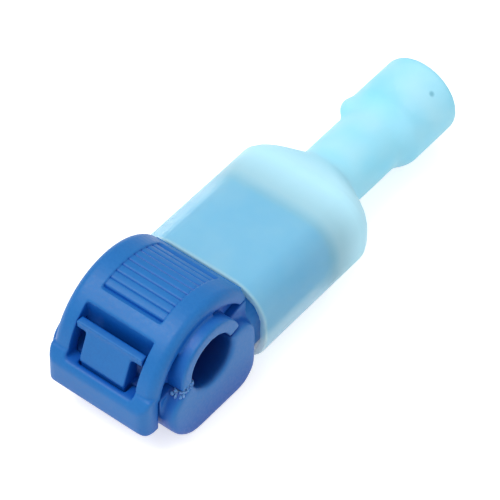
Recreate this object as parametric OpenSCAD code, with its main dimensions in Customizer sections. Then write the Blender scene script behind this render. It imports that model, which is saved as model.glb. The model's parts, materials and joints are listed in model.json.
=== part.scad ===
// Hinged tap splice with its insulated push-on plug.
// A hinged hood presses the uncut run wire (along X) into a forked contact, and the plug's tab
// (along Y) pushes into the contact's receptacle inside the tail.
// Millimetres, Z up. The origin is the middle of the whole footprint, on the surface it lies on.

/* [Wires] */
// Bore that grips the insulation of the run wire
run_bore_d = 4.1; // [3.7:0.1:4.4]
// Height of the run wire's axis above the tail's axis
run_rise = 2.2; // [2:0.1:2.4]
// Bore that takes the insulation of the branch wire
entry_bore_d = 4.4; // [4.1:0.1:4.6]
// Width of the slot in each contact fork
fork_slot_w = 1.3; // [0.9:0.1:1.8]

/* [Tab and contact] */
// Width of the plug's flat tab
tab_w = 6.35; // [6:0.05:6.6]
// Thickness of the plug's flat tab
tab_t = 0.8; // [0.7:0.05:0.9]
// Sheet thickness of the contact
contact_t = 0.4; // [0.3:0.05:0.45]
// Gap between the tab and the contact's receptacle on each face
tab_play = 0.05; // [0.03:0.01:0.1]
// Inside radius of the receptacle's rolled edges
curl_r = 0.45; // [0.42:0.01:0.5]
// Distance between the outer faces of the two forks
fork_span = 3.4; // [3:0.1:3.8]
// Depth of each fork along the tail's axis
fork_depth = 4.4; // [4.2:0.1:5.2]
// Height of the fork tips above the run wire's axis
fork_rise = 1.1; // [0.9:0.1:1.6]

/* [Tap base] */
// Length of the base along the run wire
base_w = 10.7; // [10.4:0.1:11]
// Distance from the run wire's axis to the base's front face
wire_to_front = 4.25; // [4:0.05:4.5]
// Distance from the run wire's axis to the base's rear face
wire_to_rear = 4.75; // [4.5:0.05:5]
// Height of the seam between base and hood above the run wire's axis, at the hinge
seam_rise = 1.3; // [1.1:0.05:1.5]
// Fall of the seam from the hinge to the front, in degrees
seam_tilt = 13.5; // [11:0.5:15]
// Lower front edge's radius
base_front_r = 3.6; // [2.5:0.1:4]
// Lower rear edge's radius
base_rear_r = 2.4; // [1.5:0.1:3]
// Radius of the end lobes' upper front edge
lobe_front_r = 2.4; // [1:0.1:2.6]
// Radius of the end lobes' upper rear edge
lobe_rear_r = 2.2; // [1:0.1:2.6]
// Radius of the corners of the end faces
base_end_r = 0.5; // [0.3:0.1:0.9]
// Height of the latch wall's crest above the run wire's axis
crest_rise = 2.05; // [1.8:0.05:2.2]
// Height of the bar along the latch wall's crest
crest_bar = 0.6; // [0.4:0.05:0.8]
// Thickness of the latch wall
crest_t = 0.6; // [0.4:0.1:0.8]
// Width of the latch wall and its tooth
tooth_w = 3.8; // [3:0.1:4.2]
// How far the latch tooth stands out of the latch wall
tooth_out = 0.85; // [0.6:0.05:0.9]

/* [Tail] */
// Wall beside the contact's receptacle
tail_wall = 0.5; // [0.4:0.05:0.65]
// Height of the tail
tail_h = 5; // [4.6:0.1:5.4]
// Length of the tail inside the plug
tail_l = 8; // [7:0.1:8.6]
// Radius of the tail's long edges
tail_r = 1.6; // [0.8:0.1:1.9]

/* [Hood] */
// Length of the hood along the run wire
hood_w = 8.6; // [8.4:0.1:8.8]
// Outside radius of the hood's dome
hood_r = 5.65; // [5.55:0.05:5.9]
// Distance of the dome's axis behind the run wire's axis
dome_shift = 0.4; // [0.3:0.05:0.5]
// Height of the dome's top above the run wire's axis
hood_rise = 4.05; // [3.9:0.05:4.3]
// Thickness of the dome
hood_wall = 1; // [0.8:0.05:1.1]
// Radius of the dome's two end rims
hood_rim_r = 0.7; // [0.5:0.05:0.9]
// Thickness of each of the hood's end walls
hood_end_t = 1.1; // [0.9:0.05:1.3]
// Wall of the half collars around the run wire
collar_wall = 1; // [0.8:0.05:1.1]
// How far the right half collar stands out of the hood's end
right_collar_out = 0.95; // [0.8:0.05:1]
// How far the left half collar stands out of the hood's end
left_collar_out = 0.2; // [0.1:0.05:0.4]
// Depth of the arc-shaped groove around each half collar
collar_groove = 0.5; // [0.2:0.05:0.6]
// Radius of the strap's upright edges
strap_edge_r = 0.5; // [0.3:0.05:0.7]
// Thickness of the front strap
strap_t = 0.85; // [0.7:0.05:1]
// Gap between the front strap and the base
strap_gap = 0.15; // [0.1:0.01:0.2]
// Gap along the seam between base and hood
seam_gap = 0.1; // [0.05:0.01:0.15]
// Width of the window in the strap
window_w = 5.7; // [5:0.1:5.9]
// Height of the window above the lip
window_h = 3.7; // [3.5:0.05:3.8]
// Height of the lip along the strap's lower edge
lip_h = 2.75; // [2.2:0.05:2.9]
// How far the lip stands out of the strap
lip_out = 0.6; // [0.4:0.05:0.8]
// Height of the lip's upper face below the seam
lip_drop = 2.1; // [2:0.05:2.3]
// Fall of the lip's sloping upper face, from the strap to the lip's front
lip_fall = 0.9; // [0.6:0.05:1.1]
// Radius of the lip's long edges
lip_r = 0.5; // [0.3:0.05:0.6]
// Radius of the lip's upright corners
lip_end_r = 0.8; // [0.5:0.05:1]
// Overhang of the latch tooth over the lip when closed
latch_hook = 0.01; // [0:0.005:0.015]
// Width of the ribs that press the run wire down
presser_w = 1.9; // [1.4:0.1:2]
// Thickness of the screen behind the window
screen_t = 0.7; // [0.5:0.05:0.8]

/* [Grip] */
// Number of grip grooves across the dome
groove_n = 10; // [6:1:10]
// Spacing of the grip grooves along the dome
groove_pitch = 0.65; // [0.5:0.05:0.68]
// Radius of one grip groove
groove_r = 0.16; // [0.1:0.01:0.2]
// Width of the grip panel along the run wire
grip_w = 5; // [4:0.1:5.4]
// Depth of the grip panel below the rims
grip_sink = 0.15; // [0.1:0.01:0.2]
// Angle of the first groove, measured round the dome from the front
grip_start = 68; // [64:1:72]

/* [Hinge] */
// Thickness of the thin web that hinges the hood
web_t = 0.3; // [0.2:0.05:0.4]
// Length of the web along the run wire
web_w = 7.2; // [6:0.1:7.3]
// Reach of the web above the hinge axis; it reaches twice as far below
web_reach = 0.25; // [0.2:0.01:0.3]
// Height of the hinge axis above the seam
hinge_lift = 0.1; // [0.05:0.01:0.15]

/* [Plug] */
// Gap between the base's rear face and the plug's mouth
mouth_gap = 0.65; // [0.6:0.05:0.9]
// Play of the tail in the plug, on each side
plug_play_x = 0.2; // [0.15:0.01:0.3]
// Play of the tail in the plug, above and below
plug_play_z = 0.2; // [0.15:0.01:0.3]
// Side wall of the plug
plug_wall_x = 0.6; // [0.5:0.05:0.8]
// Upper and lower wall of the plug
plug_wall_z = 0.9; // [0.7:0.05:1.1]
// Radius of the plug's long edges
plug_r = 3; // [2:0.1:3.2]
// Length of the plug's full section
plug_l = 11.1; // [10.6:0.1:11.6]
// Length of the tapered shoulder
shoulder_l = 2.5; // [2:0.1:3]
// Fullness of the shoulder's curve, 1 for a straight taper
shoulder_full = 1.6; // [1:0.1:2]
// Length of the neck and its flare together
barrel_l = 11.4; // [10.8:0.1:12]
// Outside diameter of the neck
neck_d = 5.05; // [4.9:0.05:5.3]
// Outside diameter of the flared end
flare_d = 6.3; // [6:0.05:6.6]
// Length of the flared end with its ramp
flare_l = 6.4; // [5.5:0.1:7]
// Length of the ramp from neck to flare
ramp_l = 2; // [1.5:0.1:2.4]
// Radius of the gate nub on the ramp
gate_r = 1; // [0.8:0.05:1.1]

/* [Terminal] */
// Outside diameter of the crimp barrel
crimp_d = 3.8; // [3.4:0.05:3.9]
// Bore of the crimp barrel
crimp_bore_d = 2.3; // [1.8:0.05:2.6]
// Length of the crimp barrel
crimp_l = 5.8; // [5:0.1:6]
// Length of the tab's flat part
tab_l = 8.9; // [8:0.1:9.2]
// Length of the waist between the tab and the crimp barrel
waist_l = 2.5; // [2.2:0.1:2.6]
// Diameter of the detent hole in the tab
tab_hole_d = 1.8; // [1.2:0.1:2.2]
// Distance of the detent hole from the tab's tip
tab_hole_at = 3.6; // [3:0.1:4]
// Gap around the terminal inside the plug
terminal_gap = 0.05; // [0.03:0.01:0.08]

/* [Hidden] */
$fn = 64;
cut = 1;
loft_n = 10;
loft_rings = 9;
ramp_n = 12;

// Colours of the moulded and stamped pieces
tap_blue = [0.13, 0.38, 0.70];
plug_cyan = [0.66, 0.89, 0.96];
tin_plate = [0.80, 0.78, 0.72];

// Small gaps and set-backs that no fit depends on
contact_gap = 0.1;
tab_side_gap = 0.075;
fork_room_x = 0.4;
fork_room_y = 0.3;
cavity_sink = 0.55;
receptacle_gap = 0.3;
receptacle_set_in = 0.4;
tab_set_in = 0.8;
stop_t = 0.4;
passage_room = 0.9;

// Receptacle and tail, worked out from the tab
curl_x = tab_w / 2 + tab_side_gap;
receptacle_w = 2 * (curl_x + curl_r + contact_t);
receptacle_h = tab_t + 2 * tab_play + 2 * contact_t;
tail_cavity_w = receptacle_w + 2 * contact_gap;
tail_cavity_h = receptacle_h + 2 * contact_gap;
tail_w = tail_cavity_w + 2 * tail_wall;
plug_cavity_w = tail_w + 2 * plug_play_x;
plug_cavity_h = tail_h + 2 * plug_play_z;
plug_cavity_r = tail_r + plug_play_z;
plug_w = plug_cavity_w + 2 * plug_wall_x;
plug_h = plug_cavity_h + 2 * plug_wall_z;

// Heights
axis_z = plug_h / 2;
run_z = axis_z + run_rise;
seam_z = run_z + seam_rise;
crest_top = run_z + crest_rise;
hood_top = run_z + hood_rise;
dome_z = hood_top - hood_r;
lip_top = seam_z - lip_drop;
lip_bottom = lip_top - lip_h;
hinge_z = seam_z + hinge_lift;
contact_z = axis_z - tab_t / 2 - tab_play - contact_t;

// Places along the tail's axis, counted from the plug's mouth
rear_y = -mouth_gap;
run_y = rear_y - wire_to_rear;
dome_y = run_y + dome_shift;
front_y = run_y - wire_to_front;
strap_back = front_y - strap_gap;
strap_front = strap_back - strap_t;
lip_front = strap_front - lip_out;
tooth_y = front_y - tooth_out;
hinge_y = rear_y + web_t / 2;
shoulder_end = plug_l + shoulder_l;
barrel_end = shoulder_end + barrel_l;
flare_start = barrel_end - flare_l;

// Height of the seam at place y
function seam_at(y) = seam_z + (y - rear_y) * tan(seam_tilt);

// The origin is moved to the middle of the footprint
centre_y = (lip_front + barrel_end) / 2;

// Inside of the tap
well_w = fork_span + 2 * fork_room_x;
well_d = fork_depth + 2 * fork_room_y;
tail_cavity_start = rear_y - cavity_sink;
receptacle_start = tail_cavity_start + receptacle_gap;
receptacle_end = tail_l - receptacle_set_in;
run_r = run_bore_d / 2;
collar_r = run_r + collar_wall;
rib_over = 0.25;
rib_front = run_y - run_r - rib_over;
screen_front = rib_front - screen_t;
hood_inner_w = hood_w - 2 * hood_end_t;

// Inside of the plug
tab_start = tab_set_in;
tab_end = tab_start + tab_l;
cavity_end = tab_end - stop_t;
crimp_start = tab_end + waist_l;
crimp_end = crimp_start + crimp_l;
neck_r = neck_d / 2;
flare_r = flare_d / 2;
neck_bore_r = crimp_d / 2 + terminal_gap;
entry_r = entry_bore_d / 2;
entry_start = crimp_end + stop_t;
passage_w = tab_w + 2 * terminal_gap;
passage_h = tab_t + 2 * passage_room;

// Extrudes an outline drawn in (Y, Z) to both sides of the plane x = 0
module along_x(length) {
  rotate([90, 0, 90]) linear_extrude(length, center = true) children();
}

// Extrudes an outline drawn in (X, Z) from y = from to y = to
module along_y(from, to) {
  translate([0, to, 0]) rotate([90, 0, 0]) linear_extrude(to - from) children();
}

// Box given by its extent along each axis
module span_box(x, y, z) {
  translate([x[0], y[0], z[0]]) cube([x[1] - x[0], y[1] - y[0], z[1] - z[0]]);
}

// Rod of radius r along X through the point (y, z)
module rod_x(r, length, y, z) {
  translate([0, y, z]) rotate([0, 90, 0]) cylinder(h = length, r = r, center = true);
}

// Rod of radius r along the plug's axis
module rod_y(r, from, to) {
  translate([0, from, axis_z]) rotate([-90, 0, 0]) cylinder(h = to - from, r = r);
}

// Rectangle with round corners, centred on the plug's axis
module axis_rect(w, h, r) {
  translate([0, axis_z]) {
    square([w - 2 * r, h], center = true);
    square([w, h - 2 * r], center = true);
    for (sx = [-1, 1], sz = [-1, 1])
      translate([sx * (w / 2 - r), sz * (h / 2 - r)]) circle(r);
  }
}

// Waste outside a round corner at the origin, for stock that fills the quadrant (sa, sb)
module corner_waste(r, sa, sb) {
  difference() {
    translate([sa < 0 ? -r : -cut, sb < 0 ? -r : -cut]) square(r + cut);
    translate([sa * r, sb * r]) circle(r);
  }
}

// Waste outside a rounding about c that sweeps from one angle to another
module sweep_waste(c, r, from, to) {
  reach = 3 * r;
  mid = (from + to) / 2;
  translate(c) difference() {
    polygon([
      [0, 0],
      reach * [cos(from), sin(from)],
      2 * reach * [cos(mid), sin(mid)],
      reach * [cos(to), sin(to)],
    ]);
    circle(r);
  }
}

// Outline of the base seen along the run wire
module base_outline() {
  difference() {
    polygon([
      [front_y, 0], [rear_y, 0],
      [rear_y, seam_at(rear_y) - seam_gap / 2],
      [front_y, seam_at(front_y) - seam_gap / 2],
    ]);
    translate([front_y, 0]) corner_waste(base_front_r, 1, 1);
    translate([rear_y, 0]) corner_waste(base_rear_r, -1, 1);
  }
}

// Rounds the upright and lower edges of the base's two ends
module base_end_rounding() {
  for (sx = [-1, 1]) {
    translate([sx * base_w / 2, 0, -cut]) linear_extrude(seam_z + 2 * cut) {
      translate([0, front_y]) corner_waste(base_end_r, -sx, 1);
      translate([0, rear_y]) corner_waste(base_end_r, -sx, -1);
    }
    along_y(front_y - cut, rear_y + cut)
      translate([sx * base_w / 2, 0]) corner_waste(base_end_r, -sx, 1);
  }
}

// Rounds the upper edges of the end lobes, outside the hood
module lobe_rounding() {
  lobe_w = (base_w - hood_w) / 2;
  square_up = 90 + seam_tilt;
  front_c = front_y + lobe_front_r;
  rear_c = rear_y - lobe_rear_r;
  drop = seam_gap / 2;
  for (sx = [-1, 1]) translate([sx * (hood_w + lobe_w + cut) / 2, 0, 0]) along_x(lobe_w + cut) {
    sweep_waste([front_c, seam_at(front_c) - drop - lobe_front_r / cos(seam_tilt)],
                lobe_front_r, square_up, 180);
    sweep_waste([rear_c, seam_at(rear_c) - drop - lobe_rear_r / cos(seam_tilt)],
                lobe_rear_r, 0, square_up);
  }
}

// Wedge that the strap's lip snaps under
module latch_tooth() {
  tooth_low = lip_top + seam_gap;
  tooth_top = crest_top - crest_bar / 2;
  hook_slope = 0.02;
  hook_land = 0.3;
  root_y = front_y + crest_t / 2;
  along_x(tooth_w) polygon([
    [root_y, tooth_top],
    [front_y, tooth_top],
    [tooth_y, tooth_low + hook_slope + hook_land],
    [tooth_y, tooth_low + hook_slope],
    [front_y, tooth_low],
    [root_y, tooth_low],
  ]);
}

// Latch wall with a bar along its crest, which shows through the window
module latch_wall() {
  crest_w = window_w - 2 * seam_gap;
  wall_y = [front_y, front_y + crest_t];
  span_box([-tooth_w / 2, tooth_w / 2], wall_y, [lip_bottom, crest_top]);
  span_box([-crest_w / 2, crest_w / 2], wall_y, [crest_top - crest_bar, crest_top]);
}

// One moulding: body with the run wire's channel, latch tooth and hollow tail
module tap_base() {
  color(tap_blue) difference() {
    union() {
      difference() {
        along_x(base_w) base_outline();
        base_end_rounding();
        lobe_rounding();
      }
      latch_wall();
      latch_tooth();
      along_y(rear_y - cut, tail_l) axis_rect(tail_w, tail_h, tail_r);
    }
    rod_x(run_r, base_w + 2 * cut, run_y, run_z);
    span_box([-well_w / 2, well_w / 2], [run_y - well_d / 2, run_y + well_d / 2],
             [contact_z - contact_gap, seam_z + cut]);
    span_box([-well_w / 2, well_w / 2], [run_y, tail_cavity_start + cut],
             [contact_z - contact_gap, contact_z + contact_t + contact_gap]);
    along_y(tail_cavity_start, tail_l + cut)
      axis_rect(tail_cavity_w, tail_cavity_h, curl_r + contact_t);
  }
}

// Dome of the hood as a barrel with round rims, turned about its own axis along X
module dome_barrel() {
  translate([0, dome_y, dome_z]) rotate([0, 90, 0]) rotate_extrude() {
    translate([0, -hood_w / 2]) square([hood_r - hood_rim_r, hood_w]);
    translate([0, hood_rim_r - hood_w / 2]) square([hood_r, hood_w - 2 * hood_rim_r]);
    for (sx = [-1, 1])
      translate([hood_r - hood_rim_r, sx * (hood_w / 2 - hood_rim_r)]) circle(hood_rim_r);
  }
}

// Outer form of the hood: dome above the seam and strap in front of the base
module hood_shell() {
  strap_lap = 0.4;
  strap_top = dome_z + sqrt(max(pow(strap_lap, 2), pow(hood_r, 2) - pow(dome_y - strap_front, 2)));
  difference() {
    union() {
      intersection() {
        dome_barrel();
        span_box([-hood_w, hood_w], [strap_front, rear_y], [dome_z, hood_top + cut]);
      }
      span_box([-hood_w / 2, hood_w / 2], [strap_front, strap_back], [lip_bottom, strap_top]);
    }
    for (sx = [-1, 1]) translate([sx * hood_w / 2, strap_front, 0])
      linear_extrude(strap_top) corner_waste(strap_edge_r, -sx, 1);
  }
}

// Thick lip along the strap's lower edge, with an upper face that slopes down to the front
module strap_lip() {
  slope_top = lip_top + lip_fall / 2;
  slope_end = slope_top - lip_fall;
  square_up = 90 + atan2(lip_fall, lip_out);
  bend = 180 - square_up;
  difference() {
    along_x(hood_w) difference() {
      polygon([
        [lip_front, lip_bottom], [strap_back, lip_bottom], [strap_back, slope_top],
        [strap_front, slope_top], [lip_front, slope_end],
      ]);
      translate([lip_front, lip_bottom]) corner_waste(lip_r, 1, 1);
      sweep_waste([lip_front + lip_r, slope_end - lip_r * tan(bend / 2)], lip_r, square_up, 180);
    }
    for (sx = [-1, 1]) translate([sx * hood_w / 2, lip_front, 0])
      linear_extrude(slope_top + cut) corner_waste(lip_end_r, -sx, 1);
  }
}

// Window in the strap and the lip's relief for the latch tooth
module strap_window() {
  tooth_relief = tooth_w / 2 + strap_gap;
  span_box([-window_w / 2, window_w / 2], [lip_front - cut, screen_front],
           [lip_top, lip_top + window_h]);
  span_box([-tooth_relief, tooth_relief], [tooth_y + latch_hook, strap_back + cut],
           [lip_bottom - cut, lip_top + cut]);
}

// Arc-shaped groove in each end of the hood, outside the half collar
module collar_grooves() {
  groove_rim = 1;
  for (sx = [-1, 1]) translate([sx * (hood_w - collar_groove + cut) / 2, 0, 0]) difference() {
    rod_x(hood_r - groove_rim, collar_groove + cut, dome_y, dome_z);
    rod_x(collar_r, collar_groove + 2 * cut, run_y, run_z);
  }
}

// Collars that close the run wire's bore from above, down to the seam
module half_collars() {
  to_right = (right_collar_out - left_collar_out) / 2;
  difference() {
    translate([to_right, 0, 0])
      rod_x(collar_r, hood_w + right_collar_out + left_collar_out, run_y, run_z);
    rod_x(collar_r + cut, hood_inner_w, run_y, run_z);
  }
}

// Everything that lies under the seam, behind the strap
module under_seam() {
  lift = seam_gap / 2;
  along_x(2 * base_w) polygon([
    [strap_back, -cut], [rear_y + cut, -cut],
    [rear_y + cut, seam_at(rear_y + cut) + lift],
    [strap_back, seam_at(strap_back) + lift],
  ]);
}

// Ribs under the dome that press the run wire into the forks, and the screen in front of the forks
module wire_pressers() {
  fork_clear = 0.35;
  rib_low = 0.6;
  screen_low = 0.25;
  rib_y = [rib_front, run_y + run_r + rib_over];
  rib_z = [run_z + rib_low, hood_top];
  side_in = fork_span / 2 + fork_clear;
  side_out = hood_inner_w / 2 + cut;
  intersection() {
    rod_x(hood_r - hood_wall / 2, hood_w - hood_end_t, dome_y, dome_z);
    union() {
      span_box([-presser_w / 2, presser_w / 2], rib_y, rib_z);
      span_box([side_in, side_out], rib_y, rib_z);
      span_box([-side_out, -side_in], rib_y, rib_z);
      span_box([-side_out, side_out], [screen_front, rib_front],
               [run_z + fork_rise - screen_low, hood_top]);
    }
  }
}

// Sunk grip panel with its row of grooves
module grip_cut() {
  floor_r = hood_r - grip_sink;
  step = groove_pitch / hood_r * 180 / PI;
  last = grip_start + step * (groove_n - 1);
  edge = step / 2;
  reach = 2 * hood_r;
  difference() {
    rod_x(hood_r + cut, grip_w, dome_y, dome_z);
    rod_x(floor_r, grip_w + 2 * cut, dome_y, dome_z);
    for (side = [[grip_start - edge, -1], [last + edge, 1]])
      translate([0, dome_y, dome_z]) rotate([-side[0], 0, 0])
        span_box([-hood_w, hood_w], [-reach, reach], side[1] < 0 ? [-reach, 0] : [0, reach]);
  }
  for (i = [0 : groove_n - 1]) {
    at = grip_start + i * step;
    rod_x(groove_r, grip_w, dome_y - floor_r * cos(at), dome_z + floor_r * sin(at));
  }
}

// Flat land on the hood's rear edge that the hinge web joins
module hinge_land() {
  span_box([-web_w / 2, web_w / 2], [rear_y - hood_wall, rear_y],
           [seam_z - web_reach, hinge_z + web_reach]);
}

// One moulding: hinged hood with grip, window strap, lip and half collars
module tap_cover() {
  color(tap_blue) difference() {
    union() {
      difference() {
        hood_shell();
        rod_x(hood_r - hood_wall, hood_inner_w, dome_y, dome_z);
        grip_cut();
        collar_grooves();
      }
      strap_lip();
      half_collars();
      wire_pressers();
      hinge_land();
    }
    under_seam();
    strap_window();
    rod_x(run_r, base_w, run_y, run_z);
  }
}

// Thin web that bends when the hood opens
module hinge_web() {
  color(tap_blue)
    span_box([-web_w / 2, web_w / 2], [hinge_y - web_t / 2, hinge_y + web_t / 2],
             [hinge_z - 2 * web_reach, hinge_z + web_reach]);
}

// Side view of one fork: wire slot with a round end and a flared mouth
module fork_outline() {
  top = run_z + fork_rise;
  slot_sink = 0.8;
  slot_end = run_z - slot_sink;
  mouth_l = 1.2;
  chamfer = 0.7;
  half = fork_depth / 2;
  difference() {
    translate([run_y, 0]) polygon([
      [-half, contact_z], [half, contact_z],
      [half, top - chamfer], [half - chamfer, top],
      [chamfer - half, top], [-half, top - chamfer],
    ]);
    translate([run_y, slot_end]) circle(d = fork_slot_w);
    translate([run_y - fork_slot_w / 2, slot_end]) square([fork_slot_w, top]);
    translate([run_y, top]) polygon([
      [-fork_slot_w, cut], [-fork_slot_w, 0], [0, -mouth_l],
      [fork_slot_w, 0], [fork_slot_w, cut],
    ]);
  }
}

// Section of the receptacle: floor, rolled edges and the two lips over the tab
module receptacle_section() {
  lip_w = 1.1;
  lip_inner = tab_w / 2 - lip_w;
  roll_r = curl_r + contact_t;
  translate([0, contact_z]) {
    translate([-curl_x, 0]) square([2 * curl_x, contact_t]);
    for (sx = [-1, 1]) translate([sx * curl_x, roll_r]) difference() {
      circle(roll_r);
      circle(curl_r);
      translate([-sx * cut, 0]) square([2 * cut, 4 * roll_r], center = true);
    }
    for (sx = [-1, 1]) translate([sx * (curl_x + lip_inner) / 2, roll_r + curl_r + contact_t / 2])
      square([curl_x - lip_inner, contact_t], center = true);
  }
}

// Folded strip: two slotted forks, a joining strip and the receptacle for the tab
module tap_contact() {
  color(tin_plate) {
    intersection() {
      along_x(fork_span) fork_outline();
      difference() {
        span_box([-1, 1] * fork_span / 2, [run_y - fork_depth, run_y + fork_depth],
                 [contact_z, hood_top]);
        span_box([-1, 1] * (fork_span / 2 - contact_t),
                 [run_y - fork_depth - cut, run_y + fork_depth + cut],
                 [contact_z + contact_t, hood_top + cut]);
      }
    }
    span_box([-1, 1] * fork_span / 2, [run_y, receptacle_start + contact_t],
             [contact_z, contact_z + contact_t]);
    along_y(receptacle_start, receptacle_end) receptacle_section();
  }
}

// Corner points of a round-cornered section of half-width a and half-height b at place y
function section_ring(a, b, r, y) = [
  for (q = [0 : 3], i = [0 : loft_n])
    let (
      turn = 90 * (q + i / loft_n),
      sx = (q == 0 || q == 3) ? 1 : -1,
      sz = q < 2 ? 1 : -1
    )
    [sx * (a - r) + r * cos(turn), y, axis_z + sz * (b - r) + r * sin(turn)]
];

// How much of the full section is left at share t of the shoulder
function shoulder_left(t) = 1 - pow(t, shoulder_full);

// Loft from the plug's full section to the round neck
module shoulder() {
  flat_min = 0.02;
  sink = 0.03;
  rings = [
    for (k = [-1 : loft_rings])
      let (
        t = sin(90 * max(k, 0) / loft_rings),
        left = shoulder_left(t),
        a = neck_r + (plug_w / 2 - neck_r) * left - sink,
        b = neck_r + (plug_h / 2 - neck_r) * left - sink,
        y = k < 0 ? plug_l - cut / 2 : plug_l + shoulder_l * t
      )
      section_ring(a, b, min(plug_r, b - flat_min), y)
  ];
  m = 4 * (loft_n + 1);
  last = len(rings) - 1;
  points = [for (ring = rings) each ring];
  sides = [
    for (k = [0 : last - 1], i = [0 : m - 1])
      [k * m + i, k * m + (i + 1) % m, (k + 1) * m + (i + 1) % m, (k + 1) * m + i]
  ];
  front = [for (i = [m - 1 : -1 : 0]) i];
  back = [for (i = [0 : m - 1]) last * m + i];
  polyhedron(points, concat([front], sides, [back]), convexity = 4);
}

// Neck, S-shaped ramp and flared end, turned about the plug's axis
module neck_and_flare() {
  end_r = 0.3;
  ramp = [
    for (k = [0 : ramp_n])
      let (t = k / ramp_n, left = (1 + cos(180 * t)) / 2)
      [flare_r - (flare_r - neck_r) * left, flare_start + ramp_l * t]
  ];
  translate([0, 0, axis_z]) rotate([-90, 0, 0]) rotate_extrude() difference() {
    polygon(concat(
      [[0, plug_l], [neck_r, plug_l]], ramp,
      [[flare_r, barrel_end], [0, barrel_end]]
    ));
    translate([flare_r, barrel_end]) corner_waste(end_r, -1, -1);
  }
}

// Nub left by the mould's gate where the ramp starts
module gate_nub() {
  tilt = 152;
  proud = 0.25;
  reach = flare_r + proud - gate_r;
  translate([reach * cos(tilt), flare_start + gate_r, axis_z + reach * sin(tilt)]) sphere(gate_r);
}

// One translucent moulding: socket for the tail, shoulder, neck and flared wire entry
module plug_housing() {
  passage_r = 0.9;
  mouth_chamfer = 0.3;
  color(plug_cyan, 0.6) difference() {
    union() {
      along_y(0, plug_l) axis_rect(plug_w, plug_h, plug_r);
      shoulder();
      neck_and_flare();
      gate_nub();
    }
    along_y(-cut, cavity_end) axis_rect(plug_cavity_w, plug_cavity_h, plug_cavity_r);
    along_y(cavity_end - cut, crimp_start) axis_rect(passage_w, passage_h, passage_r);
    rod_y(neck_bore_r, crimp_start - stop_t, barrel_end);
    rod_y(entry_r, entry_start, barrel_end + cut);
    translate([0, barrel_end - mouth_chamfer, axis_z]) rotate([-90, 0, 0])
      cylinder(h = 2 * mouth_chamfer, r1 = entry_r, r2 = entry_r + 2 * mouth_chamfer);
  }
}

// Plan of the flat part: tab with a pointed tip, then a waist into the crimp barrel
module terminal_plan() {
  half = tab_w / 2;
  tip = 0.9;
  neck_down = 1.4;
  root_y = crimp_start + stop_t;
  waist = (crimp_d + crimp_bore_d) / 4;
  difference() {
    polygon([
      [tip - half, tab_start], [half - tip, tab_start],
      [half, tab_start + tip], [half, tab_end],
      [waist, tab_end + neck_down], [waist, root_y],
      [-waist, root_y], [-waist, tab_end + neck_down],
      [-half, tab_end], [-half, tab_start + tip],
    ]);
    translate([0, tab_start + tab_hole_at]) circle(d = tab_hole_d);
  }
}

// Flat tab with a bevelled tip, and the barrel crimped onto the branch wire
module plug_terminal() {
  bevel = 0.25;
  bevel_l = 0.5;
  face_z = tab_t / 2;
  color(tin_plate) {
    difference() {
      translate([0, 0, axis_z - tab_t / 2]) linear_extrude(tab_t) terminal_plan();
      for (sz = [0, 1]) translate([0, tab_start, axis_z]) mirror([0, 0, sz])
        along_x(tab_w + cut) polygon([
          [0, face_z - bevel], [bevel_l, face_z],
          [bevel_l, face_z + cut], [-cut, face_z + cut], [-cut, face_z - bevel],
        ]);
    }
    difference() {
      rod_y(crimp_d / 2, crimp_start, crimp_end);
      rod_y(crimp_bore_d / 2, crimp_start - cut, crimp_end + cut);
    }
  }
}

// Draws one piece with the origin at the middle of the footprint
module placed() {
  translate([0, -centre_y, 0]) children();
}

placed() tap_base();
placed() tap_cover();
placed() hinge_web();
placed() tap_contact();
placed() plug_housing();
placed() plug_terminal();
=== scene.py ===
import json
import math

import bmesh
import bpy
from mathutils import Matrix, Vector

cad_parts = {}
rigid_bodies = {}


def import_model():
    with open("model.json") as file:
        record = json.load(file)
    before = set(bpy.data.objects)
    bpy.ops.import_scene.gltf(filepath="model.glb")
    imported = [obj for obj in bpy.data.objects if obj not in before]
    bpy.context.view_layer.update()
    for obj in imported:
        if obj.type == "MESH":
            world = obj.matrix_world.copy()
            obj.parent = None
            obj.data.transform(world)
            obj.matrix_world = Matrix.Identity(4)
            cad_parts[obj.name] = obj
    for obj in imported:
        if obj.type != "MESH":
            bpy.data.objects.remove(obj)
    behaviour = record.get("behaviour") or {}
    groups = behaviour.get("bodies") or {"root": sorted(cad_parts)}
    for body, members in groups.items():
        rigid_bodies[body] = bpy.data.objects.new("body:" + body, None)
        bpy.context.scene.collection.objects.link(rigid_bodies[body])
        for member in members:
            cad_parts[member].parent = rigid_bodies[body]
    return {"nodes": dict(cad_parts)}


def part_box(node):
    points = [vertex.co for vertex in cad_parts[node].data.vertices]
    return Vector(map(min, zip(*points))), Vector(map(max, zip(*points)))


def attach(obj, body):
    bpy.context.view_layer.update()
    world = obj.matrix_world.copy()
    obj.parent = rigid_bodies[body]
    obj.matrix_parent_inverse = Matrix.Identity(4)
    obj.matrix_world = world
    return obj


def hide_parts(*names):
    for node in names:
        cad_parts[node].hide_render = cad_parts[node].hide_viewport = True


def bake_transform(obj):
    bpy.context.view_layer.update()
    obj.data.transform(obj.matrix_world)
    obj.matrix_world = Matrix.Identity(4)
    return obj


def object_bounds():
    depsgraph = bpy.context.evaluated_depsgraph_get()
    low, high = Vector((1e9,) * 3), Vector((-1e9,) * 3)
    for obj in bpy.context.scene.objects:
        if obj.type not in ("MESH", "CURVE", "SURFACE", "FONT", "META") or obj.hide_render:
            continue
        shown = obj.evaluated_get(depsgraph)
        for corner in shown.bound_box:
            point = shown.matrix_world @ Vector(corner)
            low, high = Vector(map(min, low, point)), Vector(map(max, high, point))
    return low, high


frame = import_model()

CAD_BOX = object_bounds()
MM = 0.001

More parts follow.
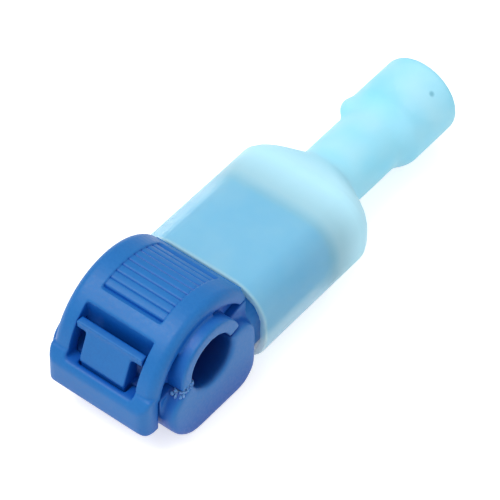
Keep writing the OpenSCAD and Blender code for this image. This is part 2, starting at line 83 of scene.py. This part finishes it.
# Sizes repeated from the part's source, in millimetres and degrees in the row frame
PLUG_AXIS_Z = 3.6
PLUG_MOUTH_Y = -6.875
RUN_WIRE = Vector((0, -12.275, 5.8))
DOME_AXIS = Vector((0, -11.875, 4.2))
DOME_R = 5.65
GRIP_FLOOR_R = 5.5
GRIP_W = 5.0
GRIP_START = 68.0
GROOVE_PITCH = 0.65
GROOVE_COUNT = 10
BASE_HALF_W = 5.35
BASE_REAR_Y = -7.525
LOBE_START = 4.3
SEAM_REAR_Z = 7.1
SEAM_FALL = math.tan(math.radians(13.5))
RUN_BORE_R = 2.05
COLLAR_R = 3.05
HOOD_HALF_W = 4.3
STRAP_FRONT_Y = -17.525
LIP_TOP_Z = 5.45
LATCH_WALL_Y = -16.525
TOOTH_Y = -17.375
TOOTH_LOW_Z = 5.1
TOOTH_HALF_W = 1.9
HINGE = Vector((0, -7.375, 7.2))
NECK_START_Y = 6.725
GATE_NUB = Vector((-2.12, 12.725, 4.73))

# A dark speck in the flare's skin, in millimetres
FLARE_SPECK = Vector((1.963, 16.435, 6.063))
FLARE_SPECK_R = 0.28


# Materials

class Recipe:
    """A node tree with short calls for the nodes that the finishes share."""

    def __init__(self, name):
        self.material = bpy.data.materials.new(name)
        self.material.use_nodes = True
        self.tree = self.material.node_tree
        self.tree.nodes.clear()
        self.output = self.node("ShaderNodeOutputMaterial")
        self.coords = self.node("ShaderNodeTexCoord").outputs["Object"]

    def node(self, kind, **values):
        made = self.tree.nodes.new(kind)
        for key, value in values.items():
            setattr(made, key, value)
        return made

    def link(self, start, end):
        self.tree.links.new(start, end)

    def put(self, socket, value):
        """Links a node's output, or sets a colour or a number on the socket itself."""
        if isinstance(value, bpy.types.NodeSocket):
            self.link(value, socket)
        elif isinstance(value, tuple):
            socket.default_value = (*value, 1.0)
        else:
            socket.default_value = value

    def shader(self, **sockets):
        made = self.node("ShaderNodeBsdfPrincipled")
        for key, value in sockets.items():
            made.inputs[key.replace("_", " ")].default_value = value
        self.link(made.outputs["BSDF"], self.output.inputs["Surface"])
        return made

    def stretched(self, scale):
        mapping = self.node("ShaderNodeMapping")
        mapping.inputs["Scale"].default_value = scale
        self.link(self.coords, mapping.inputs["Vector"])
        return mapping.outputs["Vector"]

    def noise(self, per_mm, detail=2.0, rough=0.5, where=None):
        made = self.node("ShaderNodeTexNoise")
        made.inputs["Scale"].default_value = per_mm / MM
        made.inputs["Detail"].default_value = detail
        made.inputs["Roughness"].default_value = rough
        self.link(where or self.coords, made.inputs["Vector"])
        return made.outputs["Fac"]

    def spread(self, value, low, high, out_low=0.0, out_high=1.0):
        made = self.node("ShaderNodeMapRange")
        made.inputs["From Min"].default_value = low
        made.inputs["From Max"].default_value = high
        made.inputs["To Min"].default_value = out_low
        made.inputs["To Max"].default_value = out_high
        self.link(value, made.inputs["Value"])
        return made.outputs["Result"]

    def varied(self, noise, out_low=0.0, out_high=1.0):
        """A noise, which lies mostly between 0.3 and 0.7, spread over a whole range."""
        return self.spread(noise, 0.3, 0.7, out_low, out_high)

    def ramp_along(self, axis, start_mm, end_mm, out_low=0.0, out_high=1.0):
        """A straight change between two places on one axis of the row frame."""
        place = self.node("ShaderNodeSeparateXYZ")
        self.link(self.coords, place.inputs[0])
        return self.spread(place.outputs[axis], start_mm * MM, end_mm * MM, out_low, out_high)

    def math(self, operation, first, second):
        made = self.node("ShaderNodeMath", operation=operation)
        self.put(made.inputs[0], first)
        self.put(made.inputs[1], second)
        return made.outputs[0]

    def blend(self, factor, first, second, kind="RGBA"):
        made = self.node("ShaderNodeMix", data_type=kind)
        self.put(made.inputs["Factor"], factor)
        self.put(made.inputs["A"], first)
        self.put(made.inputs["B"], second)
        return made.outputs["Result"]

    def bump(self, shader, height, depth_mm):
        made = self.node("ShaderNodeBump")
        made.inputs["Strength"].default_value = 1.0
        made.inputs["Distance"].default_value = depth_mm * MM
        self.link(height, made.inputs["Height"])
        self.link(made.outputs["Normal"], shader.inputs["Normal"])

    def near(self, point_mm, radius_mm):
        """1 in the core round the point, 0 beyond the radius."""
        core_share = 0.35
        away = self.node("ShaderNodeVectorMath", operation="DISTANCE")
        self.link(self.coords, away.inputs[0])
        away.inputs[1].default_value = point_mm * MM
        return self.spread(away.outputs["Value"], radius_mm * core_share * MM, radius_mm * MM, 1.0, 0.0)

    def round_x(self, point_mm, inner_mm, outer_mm):
        """1 close to the line through the point along X, 0 beyond the outer radius."""
        flat = self.node("ShaderNodeVectorMath", operation="MULTIPLY")
        self.link(self.coords, flat.inputs[0])
        flat.inputs[1].default_value = (0, 1, 1)
        away = self.node("ShaderNodeVectorMath", operation="DISTANCE")
        self.link(flat.outputs[0], away.inputs[0])
        away.inputs[1].default_value = Vector((0, point_mm.y, point_mm.z)) * MM
        return self.spread(away.outputs["Value"], inner_mm * MM, outer_mm * MM, 1.0, 0.0)


def tap_nylon():
    """Blue moulded nylon: faint flow clouds and a satin skin with a fine peel, plus painted shade: deep blue
    in its recesses, darker still in the run wire's bore.
    """
    cloud_dark, cloud_light = (0.006, 0.130, 0.410), (0.009, 0.150, 0.460)
    fleck = (0.016, 0.185, 0.52)
    # Colours of the painted shade: deep blue in recesses, darker blue inside the run wire's bore
    recess_painted_shade, bore_painted_shade = (0.001, 0.085, 0.42), (0.0003, 0.011, 0.15)
    r = Recipe("tap_nylon")
    shader = r.shader(
        IOR=1.5,
        Specular_IOR_Level=0.3,
        Subsurface_Weight=0.06,
        Subsurface_Radius=(0.3, 0.6, 1.0),
        Subsurface_Scale=0.5 * MM,
    )
    clouds = r.noise(per_mm=0.16, detail=3.0, rough=0.55)
    grain = r.noise(per_mm=5.0)
    body = r.blend(r.varied(clouds), cloud_dark, cloud_light)
    grained = r.blend(r.spread(grain, 0.35, 0.65, 0.0, 0.25), body, fleck)

    # Painted shade: recesses within reach of a neighbouring wall go deep blue, but not the tail, which the
    # plug covers closely
    occlusion = r.node("ShaderNodeAmbientOcclusion", samples=8)
    occlusion.inputs["Distance"].default_value = 4 * MM
    openness = occlusion.outputs["AO"]
    tail = r.ramp_along("Y", BASE_REAR_Y - 0.2, BASE_REAR_Y)
    bare = r.math("MAXIMUM", r.spread(openness, 0.6, 1.0), tail)
    shaded = r.blend(bare, recess_painted_shade, grained)
    # Darker painted shade inside the run wire's bore, where AO finds walls close round
    bore = r.math(
        "MULTIPLY",
        r.spread(openness, 0.5, 0.9, 1.0, 0.0),
        r.round_x(RUN_WIRE, RUN_BORE_R + 0.1, RUN_BORE_R + 0.35),
    )
    r.link(r.blend(bore, shaded, bore_painted_shade), shader.inputs["Base Color"])
    r.link(r.varied(grain, 0.36, 0.5), shader.inputs["Roughness"])
    r.bump(shader, r.noise(per_mm=3.2, detail=3.0), depth_mm=0.006)
    return r.material


def scuffed_nylon():
    """The same blue nylon where it is torn thin: whitened, rough."""
    torn_blue, torn_pale = (0.04, 0.20, 0.52), (0.20, 0.38, 0.70)
    r = Recipe("scuffed_nylon")
    shader = r.shader(
        IOR=1.5,
        Specular_IOR_Level=0.3,
        Subsurface_Weight=0.3,
        Subsurface_Scale=0.2 * MM,
    )
    grain = r.noise(per_mm=6.0)
    r.link(r.blend(r.varied(grain), torn_blue, torn_pale), shader.inputs["Base Color"])
    r.link(r.varied(grain, 0.5, 0.7), shader.inputs["Roughness"])
    r.bump(shader, r.noise(per_mm=8.0), depth_mm=0.01)
    return r.material


def plug_nylon(name, milk, thick_milk=None, right_milk=None):
    """Translucent pale cyan nylon: its milk hides a share of what lies behind.

    The thick barrel end hides more than the socket does, and the socket's right wall less. The shoulder past
    the tail's end and the mouth's rim are painted paler, a painted glow for light shining through the wall.
    """
    socket_dark, socket_light = (0.27, 0.71, 1.0), (0.36, 0.77, 1.0)
    barrel_dark, barrel_light = (0.29, 0.745, 0.97), (0.41, 0.79, 0.95)
    # Colours of the painted glow on the shoulder past the tail and on the mouth's rim
    shoulder_painted_glow, rim_painted_glow = (0.48, 0.82, 0.98), (0.56, 0.92, 1.0)
    speck_dark = (0.20, 0.52, 0.66)
    r = Recipe(name)
    shader = r.shader(
        IOR=1.4,
        Specular_IOR_Level=0.12,
        Subsurface_Weight=0.25,
        Subsurface_Radius=(0.9, 1.0, 1.0),
        Subsurface_Scale=0.7 * MM,
    )
    thick = r.ramp_along("Y", 0.6, 3.6)
    past_tail = r.ramp_along("Y", 0.2, 1.4)
    before_neck = r.ramp_along("Y", 4.6, 7.4, 1.0, 0.0)
    # Painted glow: the shoulder past the tail's end is painted paler, for light shining through where no tail
    # lies behind
    shoulder = r.math("MINIMUM", past_tail, before_neck)
    # Painted glow: the mouth's cut rim is painted paler, for the light that its thin edge gathers
    rim = r.ramp_along("Y", PLUG_MOUTH_Y + 0.05, PLUG_MOUTH_Y + 0.25, 1.0, 0.0)
    clouds = r.noise(per_mm=0.22, detail=3.0, rough=0.55)
    mottle = r.noise(per_mm=0.28, detail=1.0)
    socket = r.blend(r.varied(clouds), socket_dark, socket_light)
    barrel = r.blend(r.varied(mottle), barrel_dark, barrel_light)
    body = r.blend(thick, socket, barrel)
    pale = r.blend(shoulder, body, shoulder_painted_glow)
    edged = r.blend(rim, pale, rim_painted_glow)
    colour = r.blend(r.near(FLARE_SPECK, FLARE_SPECK_R), edged, speck_dark)
    r.link(colour, shader.inputs["Base Color"])
    if thick_milk is None:
        shader.inputs["Alpha"].default_value = milk
    else:
        wall = r.ramp_along("X", 3.4, 4.9, milk, right_milk)
        r.link(r.blend(thick, wall, thick_milk, "FLOAT"), shader.inputs["Alpha"])
    r.link(r.varied(r.noise(per_mm=1.6), 0.36, 0.46), shader.inputs["Roughness"])
    r.bump(shader, r.noise(per_mm=2.4, detail=3.0), depth_mm=0.008)
    return r.material


def tinned_brass():
    """Tin-plated strip: drawn lines along the stamping, dull patches."""
    dull, bright = (0.70, 0.68, 0.63), (0.83, 0.82, 0.79)
    drawn_along_y = (14.0, 0.8, 14.0)
    r = Recipe("tinned_brass")
    shader = r.shader(Metallic=1.0)
    lines = r.noise(per_mm=1.0, where=r.stretched(drawn_along_y))
    patches = r.noise(per_mm=0.5, detail=3.0)
    r.link(r.blend(r.varied(patches), dull, bright), shader.inputs["Base Color"])
    r.link(r.varied(patches, 0.28, 0.42), shader.inputs["Roughness"])
    r.bump(shader, lines, depth_mm=0.004)
    return r.material


TAP_NYLON = tap_nylon()
SCUFFED_NYLON = scuffed_nylon()
PLUG_NYLON = plug_nylon("plug_nylon", milk=0.60, thick_milk=0.97, right_milk=0.48)
PLUG_INSIDE = plug_nylon("plug_nylon_inside", milk=0.3)
TINNED_BRASS = tinned_brass()


# Shared mesh steps

def in_scene(name, data):
    obj = bpy.data.objects.new(name, data)
    bpy.context.scene.collection.objects.link(obj)
    return obj


def baked(draft):
    """The draft's mesh with its modifiers applied; the draft itself goes."""
    graph = bpy.context.evaluated_depsgraph_get()
    graph.update()
    made = bpy.data.meshes.new_from_object(draft.evaluated_get(graph))
    bpy.data.objects.remove(draft)
    return made


def closed_mesh(name, bm):
    """The finished bmesh as a named mesh."""
    mesh = bpy.data.meshes.new(name)
    bm.to_mesh(mesh)
    bm.free()
    return mesh


def smooth_shaded(mesh):
    for face in mesh.polygons:
        face.use_smooth = True
    return mesh


def add_piece(name, mesh, material):
    obj = in_scene(name, mesh)
    mesh.materials.clear()
    mesh.materials.append(material)
    return obj


def ramp(value, start, end):
    """0 at start, 1 at end, straight between them."""
    return min(max((value - start) / (end - start), 0.0), 1.0)


def add_smoothing(draft, passes, group=""):
    smooth = draft.modifiers.new("smooth", "SMOOTH")
    smooth.factor = 0.5
    smooth.iterations = passes
    smooth.vertex_group = group


def softened(mesh, share_at, passes):
    """The mesh with the places that share_at picks out (in millimetres) smoothed further."""
    draft = in_scene("softened_draft", mesh)
    group = draft.vertex_groups.new(name="soft")
    for v in mesh.vertices:
        share = share_at(v.co)
        if share > 0:
            group.add([v.index], share, "REPLACE")
    add_smoothing(draft, passes, group.name)
    return baked(draft)


def soft_edged(name, node, material, voxel_mm, passes, soft_share=None, soft_passes=40):
    """A node's solid with the small rounded edges of a moulding or a tumbled stamping."""
    weld_mm = 0.0005
    mesh = frame["nodes"][node].data.copy()
    mesh.transform(Matrix.Scale(1 / MM, 4))
    merged = bmesh.new()
    merged.from_mesh(mesh)
    bmesh.ops.remove_doubles(merged, verts=merged.verts, dist=weld_mm)
    merged.to_mesh(mesh)
    merged.free()
    draft = in_scene(name + "_draft", mesh)
    remesh = draft.modifiers.new("even_skin", "REMESH")
    remesh.mode = "VOXEL"
    remesh.voxel_size = voxel_mm
    add_smoothing(draft, passes)
    made = baked(draft)
    if soft_share:
        made = softened(made, soft_share, soft_passes)
    made.transform(Matrix.Scale(MM, 4))
    made.name = name
    obj = add_piece(name, smooth_shaded(made), material)
    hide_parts(node)
    return obj


# Geometry Nodes

class Tree:
    """A Geometry Nodes group with named inputs."""

    def __init__(self, name, inputs):
        self.group = bpy.data.node_groups.new(name, "GeometryNodeTree")
        self.ids = {}
        for key, kind in inputs.items():
            socket = self.group.interface.new_socket(key, in_out="INPUT", socket_type="NodeSocket" + kind)
            self.ids[key] = socket.identifier
        self.group.interface.new_socket("Geometry", in_out="OUTPUT", socket_type="NodeSocketGeometry")
        self.given = self.node("NodeGroupInput").outputs
        self.result = self.node("NodeGroupOutput").inputs["Geometry"]

    def node(self, kind, links=None, **values):
        made = self.group.nodes.new(kind)
        for key, value in values.items():
            setattr(made, key, value)
        for key, value in (links or {}).items():
            socket = made.inputs[key]
            if isinstance(value, bpy.types.NodeSocket):
                self.group.links.new(value, socket)
            else:
                socket.default_value = value
        return made

    def math(self, operation, a, b=0.0):
        return self.node("ShaderNodeMath", {0: a, 1: b}, operation=operation).outputs[0]

    def random_vector(self, low, high, seed):
        made = self.node(
            "FunctionNodeRandomValue", {"Min": low, "Max": high, "Seed": seed}, data_type="FLOAT_VECTOR",
        )
        return made.outputs[0]

    def close(self, geometry):
        real = self.node("GeometryNodeRealizeInstances", {"Geometry": geometry})
        painted = self.node("GeometryNodeSetMaterial", {
            "Geometry": real.outputs[0], "Material": self.given["Finish"],
        })
        self.group.links.new(painted.outputs[0], self.result)

    def bake(self, name, values, slot):
        """Runs the tree with these values and leaves a plain mesh piece."""
        draft = in_scene(name + "_draft", bpy.data.meshes.new(name + "_draft"))
        modifier = draft.modifiers.new("nodes", "NODES")
        modifier.node_group = self.group
        for key, value in values.items():
            modifier[self.ids[key]] = value
        return add_piece(name, smooth_shaded(baked(draft)), values["Finish"])


def grip_rib_tree():
    """Flat bars with round edges side by side round the dome, one between each two grooves."""
    t = Tree("grip_ribs", {
        "Finish": "Material", "Count": "Int", "First Angle": "Float", "Step": "Float",
        "Top Radius": "Float", "Width": "Float", "Depth": "Float", "Edge": "Float",
        "Length": "Float", "Axis": "Vector",
    })
    given = t.given
    edge_points = 6
    row = t.node("GeometryNodeMeshLine", {"Count": given["Count"]})
    turn = t.math("MULTIPLY", t.node("GeometryNodeInputIndex").outputs[0], given["Step"])
    angle = t.math("ADD", given["First Angle"], turn)
    reach = t.math("SUBTRACT", given["Top Radius"], t.math("MULTIPLY", given["Depth"], 0.5))
    place = t.node("ShaderNodeCombineXYZ", {
        "Y": t.math("MULTIPLY", t.math("MULTIPLY", reach, -1.0), t.math("COSINE", angle)),
        "Z": t.math("MULTIPLY", reach, t.math("SINE", angle)),
    })
    where = t.node("ShaderNodeVectorMath", {0: place.outputs[0], 1: given["Axis"]}, operation="ADD")
    points = t.node("GeometryNodeSetPosition", {"Geometry": row.outputs[0], "Position": where.outputs[0]})
    half = t.math("MULTIPLY", given["Length"], 0.5)
    ends = [
        t.node("ShaderNodeCombineXYZ", {"X": t.math("MULTIPLY", half, side)}).outputs[0]
        for side in (-1.0, 1.0)
    ]
    spine = t.node("GeometryNodeCurvePrimitiveLine", {"Start": ends[0], "End": ends[1]})
    block = t.node("GeometryNodeCurvePrimitiveQuadrilateral", {
        "Width": given["Width"], "Height": given["Depth"],
    })
    profile = t.node("GeometryNodeFilletCurve", {
        "Curve": block.outputs[0], "Radius": given["Edge"], "Count": edge_points,
    }, mode="POLY")
    rib = t.node("GeometryNodeCurveToMesh", {
        "Curve": spine.outputs[0], "Profile Curve": profile.outputs[0], "Fill Caps": True,
    })
    lean = t.node("ShaderNodeCombineXYZ", {"X": t.math("SUBTRACT", math.pi / 2, angle)})
    placed = t.node("GeometryNodeInstanceOnPoints", {
        "Points": points.outputs[0], "Instance": rib.outputs[0], "Rotation": lean.outputs[0],
    })
    t.close(placed.outputs[0])
    return t


def grip_ribs():
    """Round-edged ribs between the hood's grip grooves, a little wider than the pitch so that they meet."""
    step = GROOVE_PITCH / DOME_R
    above_floor, overlap, past_end = 0.05, 0.11, 0.2
    ribs = grip_rib_tree().bake("grip_ribs", {
        "Finish": TAP_NYLON,
        "Count": GROOVE_COUNT - 1,
        "First Angle": math.radians(GRIP_START) + step / 2,
        "Step": step,
        "Top Radius": (GRIP_FLOOR_R + above_floor) * MM,
        "Width": (GROOVE_PITCH + overlap) * MM,
        "Depth": 0.50 * MM,
        "Edge": 0.24 * MM,
        "Length": (GRIP_W + past_end) * MM,
        "Axis": DOME_AXIS * MM,
    }, "tap_nylon")
    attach(ribs, "cover")


def seam_flash_tree():
    """Small torn crumbs strewn along a line, each with its own size and turn."""
    t = Tree("seam_flash", {
        "Finish": "Material", "Start": "Vector", "End": "Vector", "Count": "Int",
        "Size": "Float", "Scatter": "Float", "Seed": "Int",
    })
    given = t.given
    full_turn = (math.tau, math.tau, math.tau)
    line = t.node("GeometryNodeCurvePrimitiveLine", {"Start": given["Start"], "End": given["End"]})
    points = t.node("GeometryNodeCurveToPoints", {
        "Curve": line.outputs[0], "Count": given["Count"],
    }, mode="COUNT")
    aside = t.random_vector((-1.0, -1.0, -0.4), (0.2, 1.0, 0.4), given["Seed"])
    step = t.node("ShaderNodeVectorMath", {0: aside, "Scale": given["Scatter"]}, operation="SCALE")
    strewn = t.node("GeometryNodeSetPosition", {"Geometry": points.outputs[0], "Offset": step.outputs[0]})
    crumb = t.node("GeometryNodeMeshIcoSphere", {"Radius": given["Size"], "Subdivisions": 2})
    turn = t.random_vector((0.0, 0.0, 0.0), full_turn, t.math("ADD", given["Seed"], 1.0))
    scale = t.random_vector((0.5, 0.4, 0.3), (1.7, 1.0, 0.7), t.math("ADD", given["Seed"], 2.0))
    placed = t.node("GeometryNodeInstanceOnPoints", {
        "Points": strewn.outputs[0], "Instance": crumb.outputs[0], "Rotation": turn, "Scale": scale,
    })
    t.close(placed.outputs[0])
    return t


def seam_flash():
    """Moulding flash left on the base's seam, round the right collar's front foot as far as the bore."""
    inset, sunk, round_off, clear = 0.16, 0.06, 0.1, 0.1
    end_x = BASE_HALF_W - inset
    foot_y = RUN_WIRE.y - COLLAR_R
    bore_y = RUN_WIRE.y - RUN_BORE_R - clear

    def on_seam(x, y):
        seam_z = SEAM_REAR_Z + (y - BASE_REAR_Y) * SEAM_FALL
        return Vector((x, y, seam_z - sunk - round_off * ramp(y, bore_y, foot_y))) * MM

    tree = seam_flash_tree()
    for name, start, end, count, seed in (
        ("foot_flash", on_seam(end_x - 0.7, foot_y - 0.1), on_seam(end_x, foot_y), 9, 8),
        ("seam_flash", on_seam(end_x, foot_y + 0.1), on_seam(end_x, bore_y), 14, 5),
    ):
        flash = tree.bake(name, {
            "Finish": SCUFFED_NYLON,
            "Start": start,
            "End": end,
            "Count": count,
            "Size": 0.19 * MM,
            "Scatter": 0.22 * MM,
            "Seed": seed,
        }, "tap_nylon")
        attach(flash, "tap")


# Pieces

def hinge_web():
    """Thin web with a waist at the hinge line, cut into rows along its height."""
    rows, waist_mm, waist_share, bend = 16, 0.14, 0.45, 0.2
    low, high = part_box("hinge_web")
    half_t = (high.y - low.y) / 2
    mid_y = (low.y + high.y) / 2
    bm = bmesh.new()
    rings = []
    for i in range(rows + 1):
        z = low.z + (high.z - low.z) * i / rows
        waist = math.exp(-((z - HINGE.z * MM) / (waist_mm * MM)) ** 2)
        t = half_t * (1 - waist_share * waist)
        rings.append([bm.verts.new(p) for p in (
            (low.x, mid_y - t, z), (high.x, mid_y - t, z), (high.x, mid_y + t, z), (low.x, mid_y + t, z),
        )])
    for a, b in zip(rings, rings[1:]):
        for k in range(4):
            bm.faces.new((a[k], a[(k + 1) % 4], b[(k + 1) % 4], b[k]))
    bm.faces.new(rings[0][::-1])
    bm.faces.new(rings[-1])
    bmesh.ops.recalc_face_normals(bm, faces=bm.faces)
    strip = add_piece("hinge_strip", closed_mesh("hinge_strip", bm), TAP_NYLON)
    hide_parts("hinge_web")
    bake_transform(strip)


def latch_rib():
    """Buttress under the latch tooth, clear of the lip's relief all round."""
    rounding, root = 0.08, 0.1
    half_w = TOOTH_HALF_W - 0.05
    front = TOOTH_Y + 0.12
    top, nose, foot = TOOTH_LOW_Z + 0.15, TOOTH_LOW_Z - 1.0, TOOTH_LOW_Z - 2.6
    outline = (
        (LATCH_WALL_Y + root, top), (front, top), (front, nose),
        (LATCH_WALL_Y - root, foot), (LATCH_WALL_Y + root, foot),
    )
    bm = bmesh.new()
    left = [bm.verts.new((-half_w * MM, y * MM, z * MM)) for y, z in outline]
    right = [bm.verts.new((half_w * MM, y * MM, z * MM)) for y, z in outline]
    for k in range(len(outline)):
        n = (k + 1) % len(outline)
        bm.faces.new((left[k], left[n], right[n], right[k]))
    bm.faces.new(left)
    bm.faces.new(right)
    bmesh.ops.recalc_face_normals(bm, faces=bm.faces)
    bmesh.ops.bevel(
        bm, geom=bm.edges[:], offset=rounding * MM, segments=3, profile=0.5, affect="EDGES",
    )
    mesh = smooth_shaded(closed_mesh("latch_rib", bm))
    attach(add_piece("latch_rib", mesh, TAP_NYLON), "tap")


def base_end_share(p):
    """The base's two end lobes, whose edges are well rounded."""
    lobe_full = BASE_HALF_W - 0.4
    return ramp(abs(p.x), LOBE_START, lobe_full) if p.y < BASE_REAR_Y else 0.0


def hood_flow_share(p):
    """The strap's lip and, less so, the half collars, whose edges are well rounded."""
    lip_most, collar_most = 0.7, 0.4
    at_front = 1 - ramp(p.y, STRAP_FRONT_Y, STRAP_FRONT_Y + 0.3)
    below_top = 1 - ramp(p.z, LIP_TOP_Z, LIP_TOP_Z + 0.5)
    lip = at_front * below_top
    collar = ramp(abs(p.x), HOOD_HALF_W + 0.1, HOOD_HALF_W + 0.4)
    return max(lip_most * lip, collar_most * collar)


def plug_flow_share(p):
    """The hollow between shoulder and neck, and the foot of the gate nub."""
    nub_most = 0.5
    hollow = 1 - ramp(abs(p.y - NECK_START_Y), 0.8, 1.8)
    nub = 1 - ramp((p - GATE_NUB).length, 1.2, 1.7)
    return max(hollow, nub_most * nub)


def clear_inside(shell):
    """Gives the walls of the plug's socket and bores the clearer finish, so that the skin does the hiding."""
    sideways, square_on, rim = 0.3, 0.7, 0.5 * MM
    shell.data.materials.append(PLUG_INSIDE)
    low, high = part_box("plug_housing")
    for face in shell.data.polygons:
        outward = Vector((face.center.x, 0, face.center.z - PLUG_AXIS_Z * MM)).normalized()
        out = outward.dot(face.normal)
        within = low.y + rim < face.center.y < high.y - rim
        step_face = within and abs(out) < sideways and abs(face.normal.y) > square_on
        if out < -sideways or step_face:
            face.material_index = 1


def pieces():
    tap_body = soft_edged(
        "tap_body", "tap_base", TAP_NYLON,
        voxel_mm=0.11, passes=3, soft_share=base_end_share,
    )
    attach(tap_body, "tap")
    tap_hood = soft_edged(
        "tap_hood", "tap_cover", TAP_NYLON,
        voxel_mm=0.08, passes=3, soft_share=hood_flow_share,
    )
    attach(tap_hood, "cover")
    forked_contact = soft_edged(
        "forked_contact", "tap_contact", TINNED_BRASS, voxel_mm=0.08, passes=1,
    )
    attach(forked_contact, "tap")
    plug_shell = soft_edged(
        "plug_shell", "plug_housing", PLUG_NYLON,
        voxel_mm=0.125, passes=4, soft_share=plug_flow_share, soft_passes=90,
    )
    clear_inside(plug_shell)
    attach(plug_shell, "plug")
    plug_tab = soft_edged(
        "plug_tab", "plug_terminal", TINNED_BRASS, voxel_mm=0.08, passes=1,
    )
    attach(plug_tab, "plug")
    grip_ribs()
    seam_flash()
    latch_rib()
    hinge_web()


# Stage, light and camera

def toward(azimuth, elevation):
    """Unit vector from the part to a lamp or the camera, from angles in degrees; azimuth 0 is -Y."""
    a, e = math.radians(azimuth), math.radians(elevation)
    return Vector((math.sin(a) * math.cos(e), -math.cos(a) * math.cos(e), math.sin(e)))


def paper_floor():
    """White paper that glows only where it is seen, so that it reads as white without lighting the part."""
    half, glow = 1.5, 0.58
    z = CAD_BOX[0].z - 0.02 * MM
    r = Recipe("studio_floor")
    path = r.node("ShaderNodeLightPath").outputs
    mirrored = r.math("MAXIMUM", path["Is Glossy Ray"], path["Is Transmission Ray"])
    seen = r.math("MAXIMUM", path["Is Camera Ray"], mirrored)
    paper = r.shader(
        Base_Color=(0.85, 0.85, 0.85, 1),
        Roughness=0.9,
        Specular_IOR_Level=0.0,
        Emission_Color=(1, 1, 1, 1),
    )
    r.link(r.spread(seen, 0.0, 1.0, 0.0, glow), paper.inputs["Emission Strength"])
    corners = [(-half, -half, z), (half, -half, z), (half, half, z), (-half, half, z)]
    mesh = bpy.data.meshes.new("floor")
    mesh.from_pydata(corners, [], [(0, 1, 2, 3)])
    mesh.materials.append(r.material)
    floor = in_scene("floor", mesh)


def sky():
    world = bpy.data.worlds.new("studio")
    world.use_nodes = True
    background = world.node_tree.nodes["Background"]
    background.inputs["Color"].default_value = (1, 1, 1, 1)
    background.inputs["Strength"].default_value = 0.65
    bpy.context.scene.world = world


def lamps():
    middle = (CAD_BOX[0] + CAD_BOX[1]) / 2
    for name, azimuth, elevation, away, size, power in (
        ("key", -40, 62, 0.30, 0.20, 0.52),
        ("fill", 95, 30, 0.34, 0.24, 0.13),
    ):
        back = toward(azimuth, elevation)
        lamp = bpy.data.lights.new(name, "AREA")
        lamp.shape = "DISK"
        lamp.size = size
        lamp.energy = power
        obj = in_scene(name, lamp)
        obj.location = middle + back * away
        obj.rotation_mode = "QUATERNION"
        obj.rotation_quaternion = (-back).to_track_quat("-Z", "Y")


def camera():
    """Looks at the plug's mouth from the photograph's side, with the mouth off the frame's middle."""
    frame_px, focal_px, px_per_mm = 500.0, 3300.0, 14.792
    seen_x, seen_y = 201.99, 296.99
    azimuth, elevation, roll_degrees = 38.869, 48.928, 0.185
    heading, roll = math.radians(azimuth), math.radians(roll_degrees)
    mouth = Vector((0, PLUG_MOUTH_Y, PLUG_AXIS_Z)) * MM
    back = toward(azimuth, elevation)
    level = Vector((math.cos(heading), math.sin(heading), 0))
    rise = back.cross(level)
    right = level * math.cos(roll) + rise * math.sin(roll)
    up = rise * math.cos(roll) - level * math.sin(roll)
    px = MM / px_per_mm
    eye = mouth + back * focal_px * px
    aim = mouth + right * (frame_px / 2 - seen_x) * px + up * (seen_y - frame_px / 2) * px
    ahead = (aim - eye).normalized()
    across = (right - ahead * right.dot(ahead)).normalized()
    upright = across.cross(ahead)
    data = bpy.data.cameras.new("camera")
    data.sensor_width = 36.0
    data.lens = focal_px / frame_px * data.sensor_width
    data.clip_start = 0.01
    data.clip_end = 10.0
    obj = in_scene("camera", data)
    turn = Matrix((across, upright, -ahead)).transposed().to_4x4()
    obj.matrix_world = Matrix.Translation(eye) @ turn
    bpy.context.scene.camera = obj


camera()
paper_floor()
sky()
lamps()
pieces()
bpy.context.scene.view_settings.view_transform = "Standard"
